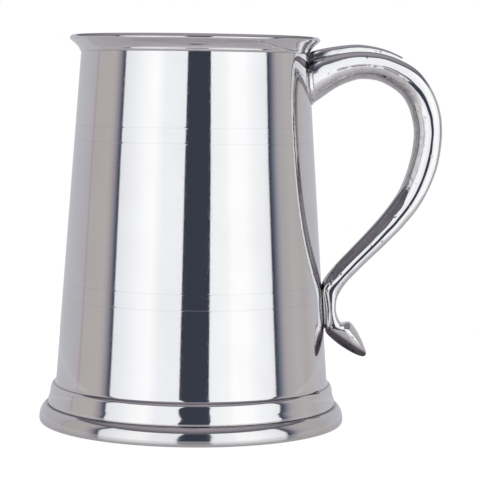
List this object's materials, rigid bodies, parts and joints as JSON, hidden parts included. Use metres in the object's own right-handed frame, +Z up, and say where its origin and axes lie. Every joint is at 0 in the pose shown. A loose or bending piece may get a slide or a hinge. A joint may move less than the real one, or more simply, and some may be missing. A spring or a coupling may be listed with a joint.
{
  "type": "tankard",
  "caption": "Polished pewter tankard with a tapered drum, flared lip, scored bands, moulded skirt base and a hollow scroll handle with a thumb strap.",
  "frame": {"origin": "centre of the foot ring, on the drum's axis, in the plane that the tankard stands on", "axes": "+Z up along the drum's axis, +X towards the handle, +Y across the handle"},
  "size_m": [0.1296, 0.0992, 0.1252],
  "materials": {
    "rolled_pewter": "mirror-polished pewter sheet, with fine wiping scratches",
    "spun_pewter": "polished pewter spinning, with faint turning lines",
    "cast_pewter": "polished pewter casting, with small casting pits and file marks",
    "pewter_solder": "tinman's solder, duller than the pewter around it"
  },
  "bodies": {
    "root": {"drum": "rolled_pewter", "floor_disc": "rolled_pewter", "floor_solder_fillet": "pewter_solder", "base_skirt": "spun_pewter", "foot_ring": "spun_pewter", "foot_solder_fillet": "pewter_solder", "upper_handle_mount": "cast_pewter", "upper_solder_bead": "pewter_solder", "handle_scroll": "cast_pewter", "handle_terminal": "cast_pewter", "lower_handle_solder": "pewter_solder", "thumb_strap": "cast_pewter"}
  },
  "joints": []
}
